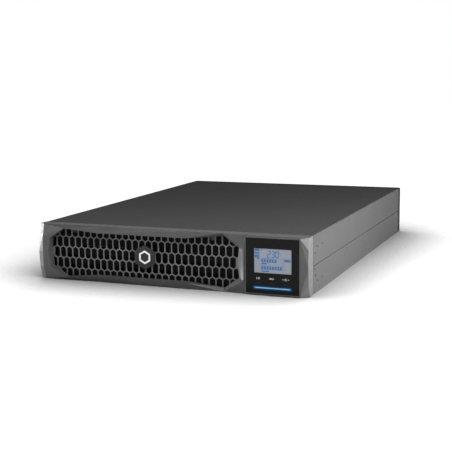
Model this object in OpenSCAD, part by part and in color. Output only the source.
// Rack and tower uninterruptible power supply, two rack units high.
// Millimetres. X to the right, Y to the back, Z up.
// The origin is at the middle of the underside of the whole unit.

/* [Case] */
// Width of the case
unit_w = 438; // [400:1:540]
// Height of the case
unit_h = 86.5; // [84:0.5:110]
// Depth of the steel case, without bezels and rear fittings
case_d = 600; // [560:5:740]
// Thickness of the steel sheet
sheet_t = 1.2; // [0.8:0.1:1.5]
// Outer radius of the bends in the sheet
bend_r = 1.8; // [1.6:0.1:3]
// Height of the seam between chassis and top cover
seam_z = 42.3; // [41:0.1:52]
// How far the cover's inner flange reaches below the seam
cover_lap = 12; // [10:1:14]
// Width of the rear panel's flange on the sides
rear_flange = 15; // [12:1:25]
// How far the rear fittings stand out of the rear panel
rear_out = 4; // [3.8:0.1:8]

/* [Front bezels] */
// Depth of the bezels at their furthest point
bezel_t = 26; // [24:1:36]
// Width of the display bezel
display_bezel_w = 95; // [93:1:120]
// Width of the chamfered strip at the outer end
end_strip_w = 8.3; // [6:0.1:12]
// Height of the corner facets, from the top and bottom edges
knee = 18.5; // [14:0.5:24]
// Height of the bar above the grille at its waist
bar_h = 10; // [8:0.5:14]
// Height of the bar above the grille at its corners
corner_bar_h = 5; // [4:0.5:8]
// Depth of the recess in front of the grille
grille_recess = 14; // [10:0.5:16]
// Thickness of the honeycomb plate
grille_t = 1.6; // [1.5:0.1:3.5]
// Distance between neighbouring cells in a row
cell_pitch = 10.9; // [9:0.1:14]
// Distance between rows of cells
row_pitch = 16.5; // [14:0.1:20]
// Width of the webs between cells
web_w = 1.7; // [1.2:0.1:2.6]

/* [Display unit] */
// Side of the square display head
head_w = 80; // [74:1:80]
// Gap around the display head
head_gap = 0.5; // [0.4:0.1:0.8]
// How far the head slopes inwards for each millimetre of depth
head_slope = 2; // [1.9:0.1:2.1]
// Width of the screen window
screen_w = 56; // [50:1:60]
// Height of the screen window
screen_h = 35.2; // [30:0.2:38]
// Radius of the turning boss
boss_r = 31.4; // [31:0.1:31.6]
// Wall of the sliding sleeve
sleeve_wall = 2.4; // [2:0.1:2.6]
// Running clearance of the boss in the sleeve
boss_fit = 0.08; // [0.05:0.01:0.1]
// Clearance of the sleeve in the bezel
sleeve_fit = 0.3; // [0.2:0.05:0.4]
// How far the display unit pulls out
pull_travel = 34; // [33:0.5:36]

/* [Batteries] */
// Length of one battery block
batt_l = 151; // [120:1:185]
// Width of one battery block, which stands upright in the tray
batt_w = 65; // [54:0.5:72]
// Height of one battery block without its terminals
batt_h = 94; // [80:0.5:96]
// Height of the battery terminals
terminal_h = 5; // [4:0.5:7]
// Gap around each battery block
batt_gap = 1; // [0.6:0.1:2]

/* [Fans and sockets] */
// Side of a fan frame
fan_w = 80; // [70:1:80]
// Depth of a fan frame
fan_t = 25; // [20:1:32]
// Distance of the fan's fixing holes from its edges
fan_hole_in = 4.25; // [4:0.05:5]
// Distance between outlet columns
outlet_dx = 33; // [31:0.5:36]
// Distance between outlet rows
outlet_dz = 30; // [27:0.5:34]

/* [Hidden] */
$fn = 48;
half_w = unit_w / 2;
mid_z = unit_h / 2;
y_front = -(bezel_t + case_d + rear_out) / 2;
y_metal = y_front + bezel_t;
y_rear = y_metal + case_d;
in_x = half_w - sheet_t;
top_in = unit_h - sheet_t;
seam_gap = 0.4;
case_gap = 0.9;
clear = 0.3;
y_flange = y_rear - rear_flange;
screw_r = 1.6;
tapped_r = 1.65;

// Rack ear holes, measured from the steel front edge and the mid height
ear_y = [19, 45];
ear_dz = 25;
ear_pin_y = 10.8;
ear_pin_dz = 16.2;
collar_r = 3.5;
collar_l = 2.5;

// Cover screws along each side
cover_screw_z = seam_z - 6.3;
cover_screw_y = [for (f = [0, 1, 2, 3]) y_metal + 8 + f * (case_d - 49) / 3];

// Bezels
seam_x = half_w - display_bezel_w;
bezel_back = 0.6;
skin_t = 2.6;
mid_d = bezel_t;
knee_d = bezel_t - 1.2;
edge_d = bezel_t - 6.5;
grille_l = -half_w + 17.4;
grille_r = seam_x - 15.2;
corner_l = -half_w + 45.5;
waist_l = -half_w + 103;
waist_r = seam_x - 94;
corner_r = seam_x - 35.5;
plate_d = bezel_t - grille_recess;
plate_l = grille_l - 4.9;
plate_r = grille_r + 5.2;
plate_h = unit_h - 2 * skin_t;
grid_x = (plate_l + plate_r) / 2;
grid_drop = 1.2;
cell_w = cell_pitch - web_w;
slant = tan(30);
cell_shoulder = (row_pitch - cell_pitch * slant / 2) / 2 + web_w / 2 * slant - web_w / 2 / cos(30);
cell_tip = cell_shoulder + cell_w / 2 * slant;
badge_x = grid_x + cell_pitch / 2;

// Display unit
head_x = half_w - 53;
face_d = bezel_t - 0.1;
fascia_t = 1;
head_plate_t = 4;
boss_wall = 2.9;
sleeve_r = boss_r + boss_fit + sleeve_wall;
bore_r = sleeve_r + sleeve_fit;
sleeve_back = -(pull_travel + 4.5);
screen_x = head_x + 0.5;
screen_z = mid_z + 7.6;
key_w = 10;
key_h = 3;
key_z = mid_z - 25.5;
key_x = [head_x - 21, head_x - 1, head_x + 20];
led_z = mid_z - 31.7;
led_w = 54;
led_h = 2;
pocket_d = face_d - 3.4;

// Battery bay
rib_h = 1.6;
tray_z = sheet_t + rib_h + 0.2;
col_pitch = batt_h + terminal_h + batt_gap;
row_l = batt_l + batt_gap;
tray_x = -half_w + 18.5;
tray_w = 3 * col_pitch + batt_gap + 2 * sheet_t;
tray_l = 2 * row_l + batt_gap + 2 * sheet_t;
tray_y = y_metal + 8;
tray_wall_h = 46;
tray_end = tray_x + tray_w;
batt_top = tray_z + sheet_t + batt_w + clear;
door_l = plate_l + 0.6;
door_r = plate_r - 2;
door_t = 1.2;
partition_x = tray_end + 3;
partition_y = tray_y + tray_l + 8;
door_screw_x = [for (f = [0.12, 0.5, 0.88]) tray_x + f * tray_w];
door_screw_z = batt_top + 6.5;

// Electronics space behind the batteries
fan_y = y_rear - sheet_t - fan_t - 0.2;
fan_x = [-half_w + 48, -half_w + 133];
fan_bolt = fan_w - 2 * fan_hole_in;
fan_hub_t = 4;
fan_shaft_r = 2;
zone_y = partition_y + sheet_t + 5;
zone_l = fan_y - 6 - zone_y;
board_z = sheet_t + 9;
board_t = 1.6;
power_x = -half_w + 12;
power_w = 300;
side_x = power_x + power_w + 8;
side_w = half_w - 10 - side_x;
standoff_x = [power_x + 6, power_x + power_w / 2, power_x + power_w - 6];
standoff_y = [zone_y + 6, zone_y + zone_l - 6];
sink_x = [power_x + 70, power_x + 150];
sink_w = 34;
sink_h = 54;
sink_y = zone_y + 16;
sink_l = zone_l - 32;
control_y = y_metal - sleeve_back + 18;
control_l = partition_y - control_y - 20;

// Rear fittings
inner_face = y_rear - sheet_t;
outlet_x = [-half_w + 213, -half_w + 281];
inlet_x = -half_w + 340;
small_x = -half_w + 370.6;
port_x = half_w - 30;
upper_z = mid_z + 19.5;
lower_z = mid_z - 20.5;
breaker_out = 1.6;
breaker_bore = 3.4;

// ---------- Shared shapes ----------

// Box between two corners
module block(lo, hi) {
    translate(lo) cube(hi - lo);
}

// A drawing in X and Z, extruded from y0 to y1
module along_y(y0, y1) {
    translate([0, y1, 0]) rotate([90, 0, 0]) linear_extrude(y1 - y0) children();
}

// Round bar along Y
module rod_y(x, z, y0, y1, r) {
    translate([x, y1, z]) rotate([90, 0, 0]) cylinder(r = r, h = y1 - y0);
}

// Round bar along X
module rod_x(y, z, x0, x1, r) {
    translate([x0, y, z]) rotate([0, 90, 0]) cylinder(r = r, h = x1 - x0);
}

// Upright round bar
module post(x, y, z0, z1, r) {
    translate([x, y, z0]) cylinder(r = r, h = z1 - z0);
}

// Flat-sided convex solid around a list of points
module facets(pts) {
    hull() polyhedron(points = pts, faces = [for (i = [1:len(pts) - 2]) [0, i, i + 1]]);
}

// Points at one X from pairs of [depth in front of the steel, height]
function rib(x, pairs) = [for (p = pairs) [x, y_metal - p[0], p[1]]];

// Rounded rectangle centred on X and standing on zero
module round_rect(w, h, r) {
    translate([-w / 2 + r, 0]) square([w - 2 * r, h]);
    translate([-w / 2, r]) square([w, h - 2 * r]);
    for (s = [-1, 1], z = [r, h - r]) translate([s * (w / 2 - r), z]) circle(r);
}

// Bent sheet all round the case, kept between two heights
module case_wall(z0, z1) {
    intersection() {
        difference() {
            round_rect(unit_w, unit_h, bend_r);
            translate([0, sheet_t]) round_rect(2 * in_x, unit_h - 2 * sheet_t, bend_r - sheet_t);
        }
        translate([-unit_w, z0]) square([2 * unit_w, z1 - z0]);
    }
}

// Cable through a list of points
module wire(pts, r) {
    for (i = [0:len(pts) - 2])
        hull() {
            translate(pts[i]) sphere(r, $fn = 10);
            translate(pts[i + 1]) sphere(r, $fn = 10);
        }
}

// Do something on the left and right sides
module both_sides() {
    children();
    mirror([1, 0, 0]) children();
}

// Lower half of a front shape made from its upper half
module both_halves() {
    children();
    translate([0, 0, unit_h]) mirror([0, 0, 1]) children();
}

// Square plate of the display head whose edges slope inwards towards the back
module sloped_plate(d_front, d_back, half_front, half_back) {
    facets([for (end = [[d_front, half_front], [d_back, half_back]], sx = [-1, 1], sz = [-1, 1])
        [head_x + sx * end[1], y_metal - end[0], mid_z + sz * end[1]]]);
}

// Half width of the head at a depth
function head_half(d) = head_w / 2 - head_slope * (face_d - d);

// Box on the display head: middle, size, and depths of its front and back
module head_box(x, z, w, h, d_front, d_back) {
    block([x - w / 2, y_metal - d_front, z - h / 2], [x + w / 2, y_metal - d_back, z + h / 2]);
}

// ---------- Case ----------

// Tapped hole with its collar for a rack ear screw
module ear_collar(y, z) {
    rod_x(y, z, in_x - collar_l, in_x + 0.2, collar_r);
}

module ear_holes(dz) {
    for (y = ear_y) rod_x(y_metal + y, mid_z + dz, in_x - collar_l - 1, half_w + 1, tapped_r);
    rod_x(y_metal + ear_pin_y, mid_z + sign(dz) * ear_pin_dz, in_x - 1, half_w + 1, tapped_r);
}

module lower_chassis() {
    color("dimgray") difference() {
        union() {
            along_y(y_metal, y_flange - seam_gap) case_wall(0, seam_z - case_gap / 2);
            both_sides() for (y = ear_y) ear_collar(y_metal + y, mid_z - ear_dz);
            for (x = [tray_x + 30, tray_end - 42])
                block([x, y_metal + 10, sheet_t - 0.2], [x + 12, partition_y - 6, sheet_t + rib_h]);
        }
        both_sides() {
            ear_holes(-ear_dz);
            for (y = cover_screw_y)
                translate([in_x - 0.1, y, cover_screw_z]) rotate([0, 90, 0])
                    cylinder(r1 = screw_r + 0.2, r2 = screw_r + 1.5, h = sheet_t + 0.2);
        }
    }
}

module top_cover() {
    flange_x = in_x - clear - sheet_t;
    color("dimgray") difference() {
        union() {
            along_y(y_metal, y_flange - seam_gap) case_wall(seam_z + case_gap / 2, unit_h);
            both_sides() {
                block([flange_x, y_metal + 2, seam_z - cover_lap],
                      [flange_x + sheet_t, y_flange - 4, seam_z + 8]);
                block([flange_x + sheet_t - 0.1, y_metal + 2, seam_z + 2],
                      [in_x + 0.1, y_flange - 4, seam_z + 8]);
                for (y = ear_y) ear_collar(y_metal + y, mid_z + ear_dz);
            }
        }
        both_sides() {
            ear_holes(ear_dz);
            for (y = cover_screw_y)
                rod_x(y, cover_screw_z, flange_x - 1, flange_x + sheet_t + 1, tapped_r);
        }
    }
}

// Everything cut through the rear panel, as a drawing in X and Z
module rear_cutouts() {
    for (x = fan_x) {
        translate([x, mid_z]) circle(fan_w / 2 - 2.5);
        for (sx = [-1, 1], sz = [-1, 1])
            translate([x + sx * fan_bolt / 2, mid_z + sz * fan_bolt / 2]) circle(2);
    }
    for (x = outlet_x) translate([x, mid_z]) square([outlet_dx * 2 - 4, outlet_dz * 2 - 2],
        center = true);
    translate([inlet_x, upper_z]) square([38, 30], center = true);
    translate([inlet_x, lower_z]) square([35, 27], center = true);
    translate([small_x, upper_z]) circle(6.2);
    translate([small_x, lower_z]) square([17, 27], center = true);
    translate([port_x, upper_z + 10]) square([20.4, 10.4], center = true);
    translate([port_x - 14, upper_z - 8]) square([12.4, 11.4], center = true);
    translate([port_x + 10, upper_z - 8]) square([14.4, 9.4], center = true);
    translate([port_x, lower_z]) square([42, 28], center = true);
}

module rear_panel() {
    color("black") difference() {
        union() {
            along_y(y_flange, y_rear) case_wall(0, unit_h);
            along_y(y_rear - sheet_t, y_rear) round_rect(unit_w, unit_h, bend_r);
        }
        along_y(y_rear - sheet_t - 1, y_rear + 1) rear_cutouts();
        for (sx = [-1, 1]) rod_y(port_x + sx * 12.5, upper_z + 10, y_rear - 5, y_rear + 1, 1.55);
        for (sx = [-1, 1]) rod_y(port_x + sx * 24.5, lower_z, y_rear - 5, y_rear + 1, tapped_r);
        rod_y(small_x + 13, mid_z, y_rear - 5, y_rear + 1, 2.1);
    }
}

module front_frame() {
    frame_x = in_x - 2 * clear - sheet_t;
    frame_lip = 5;
    color("black") difference() {
        union() {
            block([-frame_x, y_metal, sheet_t + clear], [frame_x, y_metal + sheet_t, top_in - clear]);
            both_sides() block([frame_x - sheet_t, y_metal, sheet_t + clear],
                               [frame_x, y_metal + frame_lip, top_in - clear]);
        }
        block([tray_x - 1, y_metal - 1, sheet_t + clear + 1.3],
              [tray_end + 1, y_metal + 2 * sheet_t, batt_top + 3]);
        rod_y(head_x, mid_z, y_metal - 1, y_metal + 2 * sheet_t, bore_r);
        for (x = door_screw_x) rod_y(x, door_screw_z, y_metal - 1, y_metal + 2 * sheet_t, tapped_r);
    }
}

module bay_partition() {
    z0 = sheet_t + clear;
    z1 = top_in - clear;
    left = -in_x + 2 * clear + sheet_t;
    color("silver") difference() {
        union() {
            block([partition_x, y_metal + sheet_t + clear, z0], [partition_x + sheet_t,
                partition_y + sheet_t, z1]);
            block([left, partition_y, z0], [partition_x + 0.1, partition_y + sheet_t, z1]);
            block([left, partition_y, z0], [partition_x, partition_y + 8, z0 + sheet_t]);
        }
        block([tray_end - 62, partition_y - 1, board_z], [tray_end - 22, partition_y + sheet_t + 1,
            board_z + 24]);
    }
}

// Screws of the case: sunk into the sides, and raised on the rear
module case_screws() {
    color("gray") {
        both_sides() for (y = cover_screw_y) {
            translate([in_x, y, cover_screw_z]) rotate([0, 90, 0]) difference() {
                cylinder(r1 = screw_r + 0.1, r2 = screw_r + 1.2, h = sheet_t - 0.1);
                translate([0, 0, sheet_t - 0.7]) cylinder(r = 1.1, h = 1, $fn = 6);
            }
            rod_x(y, cover_screw_z, in_x - 5, in_x + 0.2, screw_r);
        }
        for (sx = [-1, 1]) {
            rod_y(port_x + sx * 24.5, lower_z, y_rear - 4, y_rear + 1.2, screw_r);
            rod_y(port_x + sx * 24.5, lower_z, y_rear + 1.1, y_rear + 3, 3);
        }
        rod_y(small_x + 13, mid_z, y_rear - 6, y_rear + 1, 2);
        rod_y(small_x + 13, mid_z, y_rear + 0.1, y_rear + 3.4, 4.2);
        for (x = fan_x, sx = [-1, 1], sz = [-1, 1])
            translate([x + sx * fan_bolt / 2, 0, mid_z + sz * fan_bolt / 2]) {
                rod_y(0, 0, y_rear - 12, y_rear + 2, 1.9);
                rod_y(0, 0, y_rear + 1.9, y_rear + rear_out, 3.6);
            }
    }
}

// ---------- Front bezels ----------

// One rib of the bar over the grille
function bar_rib(x, top_d, lip_d, h) = rib(x, [[top_d, unit_h], [lip_d, unit_h - h],
    [bezel_back, unit_h - h], [bezel_back, unit_h]]);

module bezel_upper_half() {
    lip_d = bezel_t - 2;
    lip_corner_d = bezel_t - 11;
    top_l = bezel_t - 8.5;
    top_waist_r = bezel_t - 5;
    top_r = bezel_t - 6;
    wing_d = plate_d + 2;
    inner = -half_w + end_strip_w;
    jaw_l = grille_l + 3.6;
    jaw_r = grille_r + 2.2;
    end_strip = [[bezel_t - 10.5, unit_h], [bezel_t - 4.5, unit_h - knee], [bezel_t - 2.5, mid_z]];
    top_strip = [[edge_d, unit_h], [knee_d, unit_h - knee]];
    back_strip = [[bezel_back, unit_h], [bezel_back, unit_h - knee], [bezel_back, mid_z]];
    // chamfered end
    facets(concat(
        rib(-half_w, concat(end_strip, back_strip)),
        rib(inner, concat(top_strip, [[mid_d, mid_z]], back_strip))));
    // upright beside the grille
    facets(concat(
        rib(inner, [[knee_d, unit_h - knee], [mid_d, mid_z], [bezel_back, unit_h - knee], [bezel_back,
            mid_z]]),
        rib(jaw_l, [[knee_d - 0.5, unit_h - knee - 2], [bezel_back, unit_h - knee - 2]]),
        rib(grille_l, [[mid_d - 0.5, mid_z], [bezel_back, mid_z]])));
    // corner
    facets(concat(
        rib(inner, concat(top_strip, [[bezel_back, unit_h], [bezel_back, unit_h - knee]])),
        rib(jaw_l, [[knee_d - 0.5, unit_h - knee - 2], [bezel_back, unit_h - knee - 2]]),
        bar_rib(corner_l, top_l, lip_d, corner_bar_h)));
    // bar above the grille, in three lengths
    facets(concat(bar_rib(corner_l, top_l, lip_d, corner_bar_h), bar_rib(waist_l, top_l, lip_d, bar_h)));
    facets(concat(bar_rib(waist_l, top_l, lip_d, bar_h), bar_rib(waist_r, top_waist_r, lip_d, bar_h)));
    facets(concat(bar_rib(waist_r, top_waist_r, lip_d, bar_h), bar_rib(corner_r, top_r, lip_corner_d,
        corner_bar_h)));
    // wing beside the display, corner then upright
    facets(concat(
        bar_rib(corner_r, top_r, lip_corner_d, corner_bar_h),
        rib(corner_r + 2.5, [[wing_d, unit_h - corner_bar_h - 1.2], [bezel_back,
            unit_h - corner_bar_h - 1.2]]),
        rib(jaw_r, [[wing_d, unit_h - knee - 2.5], [bezel_back, unit_h - knee - 2.5]]),
        rib(seam_x - 2.5, [[mid_d, unit_h - knee - 2]]),
        rib(seam_x - seam_gap, [[mid_d - 3.5, unit_h], [mid_d, unit_h - knee - 2],
            [bezel_back, unit_h], [bezel_back, unit_h - knee - 2.5]])));
    facets(concat(
        rib(jaw_r, [[wing_d, unit_h - knee - 2.5], [bezel_back, unit_h - knee - 2.5]]),
        rib(grille_r, [[wing_d, mid_z], [bezel_back, mid_z]]),
        rib(seam_x - 2.5, [[mid_d, unit_h - knee - 2], [mid_d, mid_z]]),
        rib(seam_x - seam_gap, [[mid_d, unit_h - knee - 2], [mid_d, mid_z],
            [bezel_back, unit_h - knee - 2], [bezel_back, mid_z]])));
}

module grille_bezel() {
    color("dimgray") difference() {
        both_halves() bezel_upper_half();
        block([plate_l, y_metal - plate_d, skin_t], [plate_r, y_metal + 1, unit_h - skin_t]);
    }
}

// Outline of one cell; the outermost rows stop short of the plate's edge
function cell(x, z) = [for (p = [[1, -1], [1, 1], [0, 2], [-1, 1], [-1, -1], [0, -2]])
    [x + p[0] * cell_w / 2,
     max(min(z + sign(p[1]) * (abs(p[1]) == 2 ? cell_tip : cell_shoulder), plate_h / 2 - 1.2),
         1.2 - plate_h / 2)]];

module honeycomb_grille() {
    half_plate = (plate_r - plate_l) / 2 - clear;
    rows = floor((plate_h / 2 - 1.2) / row_pitch);
    columns = ceil(half_plate / cell_pitch);
    cells = [for (row = [-rows:rows], i = [-columns:columns])
        let (x = (i + (row % 2 == 0 ? 0.5 : 0)) * cell_pitch)
        if (abs(x) + cell_w / 2 < half_plate - 1) cell(x, row * row_pitch - grid_drop)];
    edge = [for (s = [[-1, -1], [1, -1], [1, 1], [-1, 1]]) [s[0] * half_plate,
        s[1] * (plate_h / 2 - clear)]];
    color("dimgray") translate([grid_x, 0, mid_z])
        along_y(y_metal - plate_d + 0.1, y_metal - plate_d + grille_t)
            polygon(concat(edge, [for (c = cells, p = c) p]),
                    concat([[0, 1, 2, 3]],
                        [for (k = [0:len(cells) - 1]) [for (j = [0:5]) 4 + 6 * k + j]]));
}

// Plain shield over three cells of the grille
module bezel_badge() {
    w = 1.5 * cell_pitch;
    shoulder = 9.5;
    color("black") translate([badge_x, 0, mid_z - grid_drop])
        along_y(y_metal - plate_d - 1.8, y_metal - plate_d)
            polygon([[w, -shoulder], [w, shoulder], [0, shoulder + w * slant], [-w, shoulder],
                     [-w, -shoulder], [0, -shoulder - w * slant]]);
}

module display_bezel() {
    face = [[bezel_t, unit_h - 1.6], [bezel_t - 2.6, unit_h], [bezel_t, 1.6], [bezel_t - 2.6, 0],
            [bezel_back, unit_h], [bezel_back, 0]];
    side = [[bezel_t - 10.5, unit_h], [bezel_t - 3.5, unit_h - knee], [bezel_t - 1.4, mid_z],
            [bezel_t - 3.5, knee], [bezel_t - 10.5, 0], [bezel_back, unit_h], [bezel_back, 0]];
    cheek_x = head_x + head_w / 2 + head_gap + 0.6;
    front_half = head_half(bezel_t + 1) + head_gap;
    back_d = face_d - head_plate_t - 0.4;
    color("dimgray") difference() {
        facets(concat(rib(seam_x + seam_gap, face), rib(cheek_x, face), rib(half_w, side)));
        sloped_plate(bezel_t + 1, back_d, front_half, head_half(back_d) + head_gap);
        difference() {
            block([seam_x + skin_t, y_metal - back_d + skin_t + 2, skin_t],
                  [half_w - skin_t, y_metal, unit_h - skin_t]);
            rod_y(head_x, mid_z, y_metal - bezel_t, y_metal + 1, bore_r + skin_t);
        }
        rod_y(head_x, mid_z, y_metal - bezel_t - 1, y_metal + 1, bore_r);
    }
}

// ---------- Display unit ----------

module display_sleeve() {
    front = y_metal - face_d + head_plate_t + 0.6;
    back = y_metal - sleeve_back;
    color("black") difference() {
        union() {
            rod_y(head_x, mid_z, front, back, sleeve_r);
            rod_y(head_x, mid_z, back - 2.5, back, bore_r + 2.5);
        }
        rod_y(head_x, mid_z, front - 1, back + 1, boss_r + boss_fit);
    }
}

module display_housing() {
    plate_front = face_d - fascia_t - 0.05;
    plate_back = face_d - head_plate_t;
    boss_back = y_metal - sleeve_back - 1;
    color("black") difference() {
        union() {
            sloped_plate(plate_front, plate_back, head_half(plate_front), head_half(plate_back));
            rod_y(head_x, mid_z, y_metal - plate_back - 0.2, boss_back, boss_r);
        }
        rod_y(head_x, mid_z, y_metal - plate_back + 2, boss_back + 1, boss_r - boss_wall);
        head_box(screen_x, screen_z, screen_w + 2, screen_h + 2.4, face_d, pocket_d);
        head_box(screen_x, screen_z, 14, 3, face_d, plate_back - 3);
        for (x = key_x) head_box(x, key_z, key_w + 1, key_h + 1, face_d, pocket_d);
        head_box(head_x, led_z, led_w + 0.6, led_h + 0.6, face_d, pocket_d + 0.6);
    }
}

module display_fascia() {
    back = face_d - fascia_t;
    color("black") difference() {
        sloped_plate(face_d, back, head_half(face_d), head_half(back));
        head_box(screen_x, screen_z, screen_w, screen_h, face_d + 1, back - 1);
        for (x = key_x) head_box(x, key_z, key_w + 0.6, key_h + 0.6, face_d + 1, back - 1);
        head_box(head_x, led_z, led_w + 0.2, led_h + 0.2, face_d + 1, back - 1);
    }
}

module display_window() {
    color("lightblue") head_box(screen_x, screen_z, screen_w - 0.2, screen_h - 0.2, face_d - 0.05,
        face_d - fascia_t + 0.05);
}

module screen_panel() {
    color("lavender") head_box(screen_x, screen_z, screen_w + 1.6, screen_h + 2,
        face_d - fascia_t - 0.1, pocket_d + 0.1);
}

module display_board() {
    d = face_d - head_plate_t - 5;
    color("green") {
        rod_y(head_x, mid_z, y_metal - d, y_metal - d + board_t, boss_r - boss_wall - 0.4);
        for (x = [-16, -2, 12]) head_box(head_x + x, mid_z - 12, 7, 7, d + 1.2, d - 0.1);
        head_box(head_x, mid_z + 12, 20, 5, d - board_t + 0.1, d - board_t - 5);
    }
}

// Ribbon cable with its plug, behind the display board
module display_cable() {
    d = face_d - head_plate_t - 5 - board_t - 5.1;
    end = sleeve_back - 6;
    color("lightgray") {
        head_box(head_x, mid_z + 12, 16, 1, d, d - 12);
        head_box(head_x, mid_z + 6, 16, 13, d - 11, d - 12);
        head_box(head_x, mid_z, 16, 1, d - 11, end);
        head_box(head_x, mid_z, 20, 5, end + 0.2, end - 7);
    }
}

module light_bar() {
    color("deepskyblue") head_box(head_x, led_z, led_w, led_h, face_d, pocket_d + 0.7);
}

module key(n) {
    color("black") {
        head_box(key_x[n], key_z, key_w, key_h, bezel_t, face_d - 1.4);
        head_box(key_x[n], key_z, key_w + 0.6, key_h + 0.6, face_d - 1.3, face_d - 2.3);
    }
}

// ---------- Battery pack ----------

module battery_tray() {
    z1 = tray_z + tray_wall_h;
    color("silver") difference() {
        block([tray_x, tray_y, tray_z], [tray_end, tray_y + tray_l, z1]);
        block([tray_x + sheet_t, tray_y + sheet_t, tray_z + sheet_t],
              [tray_end - sheet_t, tray_y + tray_l - sheet_t, z1 + 1]);
        block([tray_end - 60, tray_y + tray_l - 2 * sheet_t, tray_z + 8],
              [tray_end - 24, tray_y + tray_l + 1, z1 + 1]);
    }
}

// One sealed lead-acid block on its side, numbered across and then back
module battery(n) {
    x = tray_x + sheet_t + batt_gap + (n % 3) * col_pitch;
    y = tray_y + sheet_t + batt_gap + floor(n / 3) * row_l;
    z = tray_z + sheet_t + 0.1;
    lid = x + batt_h - 13;
    color("slategray") {
        block([x, y, z], [lid, y + batt_l, z + batt_w]);
        block([lid - 0.1, y + 0.6, z + 0.6], [lid + 1.1, y + batt_l - 0.6, z + batt_w - 0.6]);
        block([lid + 1, y, z], [x + batt_h, y + batt_l, z + batt_w]);
        for (t = [10, batt_l - 10])
            block([x + batt_h - 0.1, y + t - 3.2, z + batt_w / 2 - 0.4],
                  [x + batt_h + terminal_h, y + t + 3.2, z + batt_w / 2 + 0.4]);
    }
}

// Copper links joining the blocks in series
module battery_links() {
    z = tray_z + sheet_t + 0.1 + batt_w / 2;
    y = tray_y + sheet_t + batt_gap;
    top = batt_top + 0.6;
    color("orangered") for (col = [0:2]) {
        x = tray_x + sheet_t + batt_gap + col * col_pitch + batt_h;
        block([x + 1, y + batt_l - 13, z + 0.5], [x + terminal_h - 1, y + row_l + 13, z + 2.5]);
        if (col < 2) {
            block([x + 1, y + 7, z + 0.5], [x + terminal_h - 1, y + 13, top + 1.4]);
            block([x + 1, y + 7, top], [x + terminal_h - 1 + col_pitch, y + 13, top + 1.4]);
            block([x + col_pitch + 1, y + 7, z + 0.5 + (col == 0 ? 2.2 : 0)],
                  [x + col_pitch + terminal_h - 1, y + 13, top + 1.4]);
        }
    }
}

// Bent wire handle on the front of the tray
module tray_pull_handle() {
    z = tray_z + 24;
    x = tray_x + tray_w / 2;
    color("black") {
        block([x - 45, tray_y - 4.5, z - 6], [x + 45, tray_y - 3, z + 6]);
        for (s = [-1, 1]) block([x + s * 42 - 3, tray_y - 3.1, z - 6], [x + s * 42 + 3, tray_y, z + 6]);
    }
}

module tray_plug() {
    y = tray_y + tray_l;
    z = tray_z + 10;
    color("gray") {
        block([tray_end - 56, y - sheet_t - 0.1, z], [tray_end - 28, y + 4, z + 16]);
        for (s = [0, 1]) block([tray_end - 53 + s * 13, y + 3.9, z + 3], [tray_end - 43.5 + s * 13,
            y + 11, z + 13]);
    }
}

module battery_door() {
    y1 = y_metal - clear;
    color("black") difference() {
        block([door_l, y1 - door_t, skin_t + 0.6], [door_r, y1, unit_h - skin_t - 0.6]);
        for (i = [0:9], row = [0:2])
            block([tray_x + 20 + i * (tray_w - 40) / 10, y1 - door_t - 1, tray_z + 12 + row * 16],
                  [tray_x + 20 + (i + 0.72) * (tray_w - 40) / 10, y1 + 1, tray_z + 18 + row * 16]);
        for (x = door_screw_x) rod_y(x, door_screw_z, y1 - door_t - 1, y1 + 1, 2);
    }
}

module door_thumbscrews() {
    y1 = y_metal - clear - door_t;
    color("gray") for (x = door_screw_x) {
        rod_y(x, door_screw_z, y1 - 5, y1, 3.6);
        rod_y(x, door_screw_z, y1 - 0.1, y_metal + 4, 1.55);
    }
}

// ---------- Electronics ----------

module battery_socket() {
    y = tray_y + tray_l + 7.3;
    z = tray_z + 9;
    color("gray") difference() {
        block([tray_end - 58, y, z], [tray_end - 26, partition_y + 14, z + 18]);
        for (s = [0, 1]) block([tray_end - 53.5 + s * 13, y - 1, z + 3.5], [tray_end - 43 + s * 13,
            y + 5, z + 14.5]);
    }
}

module power_board() {
    color("green") difference() {
        block([power_x, zone_y, board_z], [power_x + power_w, zone_y + zone_l, board_z + board_t]);
        for (x = standoff_x, y = standoff_y) post(x, y, board_z - 1, board_z + board_t + 1, tapped_r);
    }
}

module board_standoffs() {
    color("gold") {
        for (x = standoff_x, y = standoff_y) post(x, y, sheet_t, board_z, 3);
        for (x = [side_x + 6, side_x + side_w - 6], y = [zone_y + 6, zone_y + zone_l - 6])
            post(x, y, sheet_t, board_z, 3);
        for (x = [partition_x + 12, half_w - 14], y = [control_y + 6, control_y + control_l - 6])
            post(x, y, sheet_t, board_z, 3);
    }
}

module heatsinks() {
    color("silver") for (x = sink_x) {
        block([x, sink_y, board_z + board_t], [x + 4, sink_y + sink_l, board_z + board_t + sink_h]);
        for (i = [0:8])
            block([x + 3.9, sink_y, board_z + board_t + 1 + i * (sink_h - 3) / 8],
                  [x + sink_w, sink_y + sink_l, board_z + board_t + 2.4 + i * (sink_h - 3) / 8]);
    }
}

module power_transistors() {
    color("black") for (x = sink_x, i = [0:5]) {
        y = sink_y + 8 + i * (sink_l - 32) / 5;
        block([x - 5.1, y, board_z + board_t + 14], [x - 0.1, y + 16, board_z + board_t + 35]);
        for (k = [0:2]) block([x - 3.4, y + 2.2 + k * 5.4, board_z + board_t], [x - 2.6,
            y + 3.4 + k * 5.4, board_z + board_t + 14.1]);
    }
}

module bulk_capacitors() {
    color("darkslategray") for (i = [0:1], j = [0:2])
        difference() {
            post(power_x + 214 + i * 38, zone_y + 30 + j * 40, board_z + board_t,
                board_z + board_t + 50, 17.5);
            for (a = [0, 90])
                translate([power_x + 214 + i * 38, zone_y + 30 + j * 40,
                    board_z + board_t + 50]) rotate([0, 0, a])
                    cube([22, 0.8, 0.8], center = true);
        }
}

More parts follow.
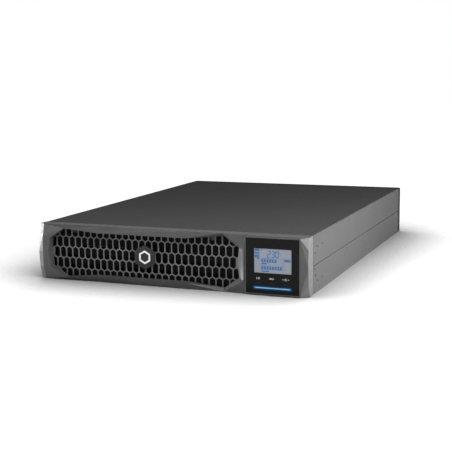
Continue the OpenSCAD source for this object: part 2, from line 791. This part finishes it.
module power_inductors() {
    color("peru") for (j = [0:2])
        translate([power_x + 32, zone_y + 40 + j * (zone_l - 80) / 2, board_z + board_t + 14])
            rotate_extrude() translate([17, 0]) union() {
                circle(9.5);
                square([19, 12], center = true);
            }
}

module relays() {
    color("royalblue") for (j = [0:3])
        block([power_x + 200 + j * 24, zone_y + zone_l - 46, board_z + board_t],
              [power_x + 216 + j * 24, zone_y + zone_l - 16, board_z + board_t + 27]);
}

module control_board() {
    x0 = partition_x + 6;
    x1 = half_w - 8;
    color("darkgreen") {
        block([x0, control_y, board_z], [x1, control_y + control_l, board_z + board_t]);
        block([x0 + 30, control_y + 60, board_z + board_t - 0.1], [x0 + 54, control_y + 84,
            board_z + board_t + 2]);
        block([x0 + 26, control_y + 4, board_z + board_t - 0.1], [x0 + 48, control_y + 10,
            board_z + board_t + 9]);
        for (j = [0:4])
            block([x1 - 14, control_y + 30 + j * 26, board_z + board_t - 0.1], [x1 - 5,
                control_y + 48 + j * 26, board_z + board_t + 8]);
    }
}

module charger_board() {
    y1 = zone_y + zone_l * 0.48;
    color("darkgreen") {
        block([side_x, zone_y, board_z], [side_x + side_w, y1, board_z + board_t]);
        for (j = [0:1]) post(side_x + side_w - 14, zone_y + 22 + j * 28, board_z + board_t - 0.1,
            board_z + board_t + 32, 9);
    }
}

module charger_transformer() {
    x = side_x + 12;
    y = zone_y + 18;
    z = board_z + board_t;
    color("goldenrod") {
        block([x, y, z], [x + 34, y + 12, z + 36]);
        block([x, y + 32, z], [x + 34, y + 44, z + 36]);
        block([x + 3, y + 11.9, z + 3], [x + 31, y + 32.1, z + 33]);
    }
}

module input_filter_board() {
    y0 = zone_y + zone_l * 0.52;
    color("darkgreen") {
        block([side_x, y0, board_z], [side_x + side_w, zone_y + zone_l, board_z + board_t]);
        for (j = [0:1])
            block([side_x + 8, y0 + 12 + j * 34, board_z + board_t - 0.1], [side_x + 34,
                y0 + 26 + j * 34, board_z + board_t + 22]);
        translate([side_x + side_w - 26, y0 + 30,
            board_z + board_t + 8]) rotate_extrude() translate([13, 0]) circle(8);
    }
}

module mains_wiring() {
    z = board_z + board_t + 30;
    color("saddlebrown") for (s = [0, 1, 2])
        wire([[inlet_x - 6 + s * 6, inner_face - 26, lower_z], [inlet_x - 6 + s * 6, inner_face - 34,
            lower_z + 8],
              [side_x + 40 + s * 6, zone_y + zone_l - 24, z], [side_x + 40 + s * 6,
                  zone_y + zone_l - 30, board_z + 12]], 1.5);
}

module battery_wiring() {
    z = tray_z + 18;
    color("red") for (s = [0, 1])
        wire([[tray_end - 49 + s * 13, partition_y + 16, z], [tray_end - 46 + s * 13, zone_y + 12, z + 2],
              [power_x + power_w - 24 + s * 12, zone_y + 20, board_z + board_t + 2.4]], 1.8);
}

// ---------- Rear fittings ----------

module fan_housings() {
    r = fan_w / 2 - 1.5;
    color("black") for (x = fan_x) translate([x, 0, mid_z]) {
        along_y(fan_y, fan_y + fan_t) difference() {
            square(fan_w, center = true);
            circle(r);
            for (sx = [-1, 1], sz = [-1, 1])
                translate([sx * fan_bolt / 2, sz * fan_bolt / 2]) circle(2.1);
        }
        difference() {
            rod_y(0, 0, fan_y + fan_t - fan_hub_t, fan_y + fan_t, 18);
            rod_y(0, 0, fan_y + fan_t - fan_hub_t - 1, fan_y + fan_t - 0.8, fan_shaft_r + 0.06);
        }
        for (a = [45:90:315]) rotate([0, a, 0])
            block([17, fan_y + fan_t - fan_hub_t, -2], [r + 0.5, fan_y + fan_t - 1, 2]);
    }
}

// Fan rotor turning about Y
module fan_rotor(n) {
    r = fan_w / 2 - 2.6;
    y0 = fan_y + 2;
    depth = fan_t - 7;
    color("dimgray") translate([fan_x[n], 0, mid_z]) {
        rod_y(0, 0, y0, y0 + depth, 17);
        rod_y(0, 0, y0 + depth - 1, fan_y + fan_t - 1.2, fan_shaft_r);
        intersection() {
            difference() {
                rod_y(0, 0, y0 + 1, y0 + depth - 1, r);
                rod_y(0, 0, y0, y0 + depth, 16.5);
            }
            for (a = [0:360 / 7:359]) rotate([0, a, 0])
                translate([r / 2 + 6, y0 + depth / 2, 0]) rotate([42, 0, 0])
                    cube([r, 1.4, depth * 1.3], center = true);
        }
    }
}

module fan_guards() {
    wire_r = 0.9;
    y = y_rear + 2;
    inner_r = 8;
    ring_pitch = (fan_w / 2 - 2.4 - inner_r) / 4;
    color("silver") for (x = fan_x) translate([x, 0, mid_z]) {
        for (i = [0:4]) translate([0, y, 0]) rotate([90, 0, 0])
            rotate_extrude() translate([inner_r + i * ring_pitch, 0]) circle(wire_r);
        for (a = [45:90:315]) rotate([0, a, 0])
            rod_x(y_rear + wire_r, 0, inner_r - 0.6, fan_bolt / sqrt(2) - 4, wire_r);
        for (sx = [-1, 1], sz = [-1, 1]) difference() {
            rod_y(sx * fan_bolt / 2, sz * fan_bolt / 2, y_rear, y_rear + 1.8, 4.2);
            rod_y(sx * fan_bolt / 2, sz * fan_bolt / 2, y_rear - 1, y_rear + 3, 2);
        }
    }
}

// Rectangle with its two lower corners cut off
module socket_outline(w, h, cut) {
    polygon([[-w / 2, h / 2], [w / 2, h / 2], [w / 2, -h / 2 + cut], [w / 2 - cut, -h / 2],
             [-w / 2 + cut, -h / 2], [-w / 2, -h / 2 + cut]]);
}

// Female outlet: a well with an island that has three contact slots
module outlet_well(w, h, slot_w, slot_h, spread) {
    wall = 2.8;
    along_y(inner_face - 14, y_rear + 3) difference() {
        socket_outline(w, h, 4);
        socket_outline(w - 2 * wall, h - 2 * wall, 3.4);
    }
    for (p = [[-spread, -1.5], [spread, -1.5], [0, 2.5]])
        translate([p[0], y_rear - 13, p[1]]) cube([slot_w, 30, slot_h], center = true);
}

module outlet_blocks() {
    color("black") for (x = outlet_x) difference() {
        union() {
            block([x - outlet_dx + 2.4, inner_face - 18, mid_z - outlet_dz + 1.4],
                  [x + outlet_dx - 2.4, y_rear + 0.1, mid_z + outlet_dz - 1.4]);
            block([x - outlet_dx + 0.4, y_rear, mid_z - outlet_dz - 0.4],
                  [x + outlet_dx - 0.4, y_rear + 1.6, mid_z + outlet_dz + 0.4]);
        }
        for (sx = [-1, 1], sz = [-1, 1])
            translate([x + sx * outlet_dx / 2, 0, mid_z + sz * outlet_dz / 2]) outlet_well(29, 21.5, 2,
                4.4, 7);
    }
}

module high_current_outlet() {
    color("black") translate([inlet_x, 0, upper_z]) difference() {
        union() {
            block([-18.6, inner_face - 20, -14.6], [18.6, y_rear + 0.1, 14.6]);
            block([-20.5, y_rear, -16.5], [20.5, y_rear + 1.6, 16.5]);
        }
        outlet_well(34, 26, 8.2, 2.2, 6.5);
    }
}

module inlet_socket() {
    color("black") translate([inlet_x, 0, lower_z]) {
        difference() {
            union() {
                block([-17.2, inner_face - 24, -13.2], [17.2, y_rear + 0.1, 13.2]);
                block([-19.5, y_rear, -15.5], [19.5, y_rear + 2, 15.5]);
            }
            along_y(inner_face - 20, y_rear + 3) socket_outline(30.6, 21, 4);
        }
        for (p = [[-6.5, -4.6], [6.5, -4.6], [0, 4.2]])
            block([p[0] - 4, inner_face - 20.1, p[1] - 1], [p[0] + 4, y_rear - 3, p[1] + 1]);
    }
}

module breaker_body() {
    color("black") difference() {
        union() {
            rod_y(small_x, upper_z, inner_face - 22, y_rear + 0.1, 5.9);
            rod_y(small_x, upper_z, y_rear, y_rear + breaker_out, 8);
        }
        rod_y(small_x, upper_z, inner_face - 12, y_rear + breaker_out + 1, breaker_bore);
    }
}

module breaker_button() {
    color("red") rod_y(small_x, upper_z, inner_face - 8, y_rear + rear_out - 0.2, breaker_bore - 0.1);
}

module external_battery_port() {
    color("gray") translate([small_x, 0, lower_z]) difference() {
        union() {
            block([-8.2, inner_face - 16, -13.2], [8.2, y_rear + 0.1, 13.2]);
            block([-9.5, y_rear, -15], [9.5, y_rear + 1.6, 15]);
        }
        for (s = [-1, 1]) block([-5.5, y_rear - 12, s * 6.2 - 4.6], [5.5, y_rear + 3, s * 6.2 + 4.6]);
    }
}

// Nine-way serial port with its two jack screws, and a square data port
module data_ports() {
    color("silver") {
        translate([port_x, 0, upper_z + 10]) {
            difference() {
                block([-10, inner_face - 9, -5], [10, y_rear + 3.4, 5]);
                block([-9, y_rear - 2, -4], [9, y_rear + 5, 4]);
            }
            for (row = [0, 1], i = [0:4 - row])
                rod_y((i - 2 + row / 2) * 2.8, row == 0 ? 1.4 : -1.4, y_rear - 2.1, y_rear + 2, 0.5);
            for (s = [-1, 1]) {
                rod_y(s * 12.5, 0, inner_face - 5, y_rear + 0.1, 1.45);
                translate([s * 12.5, y_rear + 3, 0]) rotate([90, 0, 0]) cylinder(r = 2.4, h = 3, $fn = 6);
            }
        }
        translate([port_x - 14, 0, upper_z - 8]) {
            difference() {
                block([-6, inner_face - 14, -5.5], [6, y_rear + 0.8, 5.5]);
                block([-4.6, y_rear - 9, -4.2], [4.6, y_rear + 2, 4.2]);
            }
            block([-2.8, y_rear - 9.1, -1.6], [2.8, y_rear - 1, 1.6]);
        }
    }
}

module remote_stop_terminal() {
    color("seagreen") translate([port_x + 10, 0, upper_z - 8]) difference() {
        block([-7, inner_face - 10, -4.5], [7, y_rear + 3, 4.5]);
        for (s = [-1, 1]) {
            block([s * 3.3 - 1.8, y_rear - 4, -3.4], [s * 3.3 + 1.8, y_rear + 4, 0.2]);
            rod_y(s * 3.3, 2.4, y_rear + 1.5, y_rear + 4, 1.2);
        }
    }
}

module slot_cover() {
    color("dimgray") difference() {
        block([port_x - 27.5, y_rear + 0.1, lower_z - 15], [port_x + 27.5, y_rear + 1.1, lower_z + 15]);
        for (s = [-1, 1]) rod_y(port_x + s * 24.5, lower_z, y_rear - 1, y_rear + 3, 1.8);
    }
}

lower_chassis();
top_cover();
rear_panel();
front_frame();
bay_partition();
display_bezel();
case_screws();
power_board();
heatsinks();
power_transistors();
bulk_capacitors();
power_inductors();
relays();
control_board();
charger_board();
charger_transformer();
input_filter_board();
board_standoffs();
mains_wiring();
battery_wiring();
battery_socket();
fan_housings();
fan_guards();
inlet_socket();
outlet_blocks();
high_current_outlet();
breaker_body();
data_ports();
remote_stop_terminal();
slot_cover();
external_battery_port();
breaker_button();
fan_rotor(0);  // fan_rotor_left
fan_rotor(1);  // fan_rotor_right
battery_tray();
battery(0);  // battery_1
battery(1);  // battery_2
battery(2);  // battery_3
battery(3);  // battery_4
battery(4);  // battery_5
battery(5);  // battery_6
battery_links();
tray_pull_handle();
tray_plug();
battery_door();
door_thumbscrews();
grille_bezel();
honeycomb_grille();
bezel_badge();
display_sleeve();
display_housing();
display_fascia();
display_window();
screen_panel();
display_board();
display_cable();
light_bar();
key(0);  // on_button
key(1);  // select_button
key(2);  // standby_button
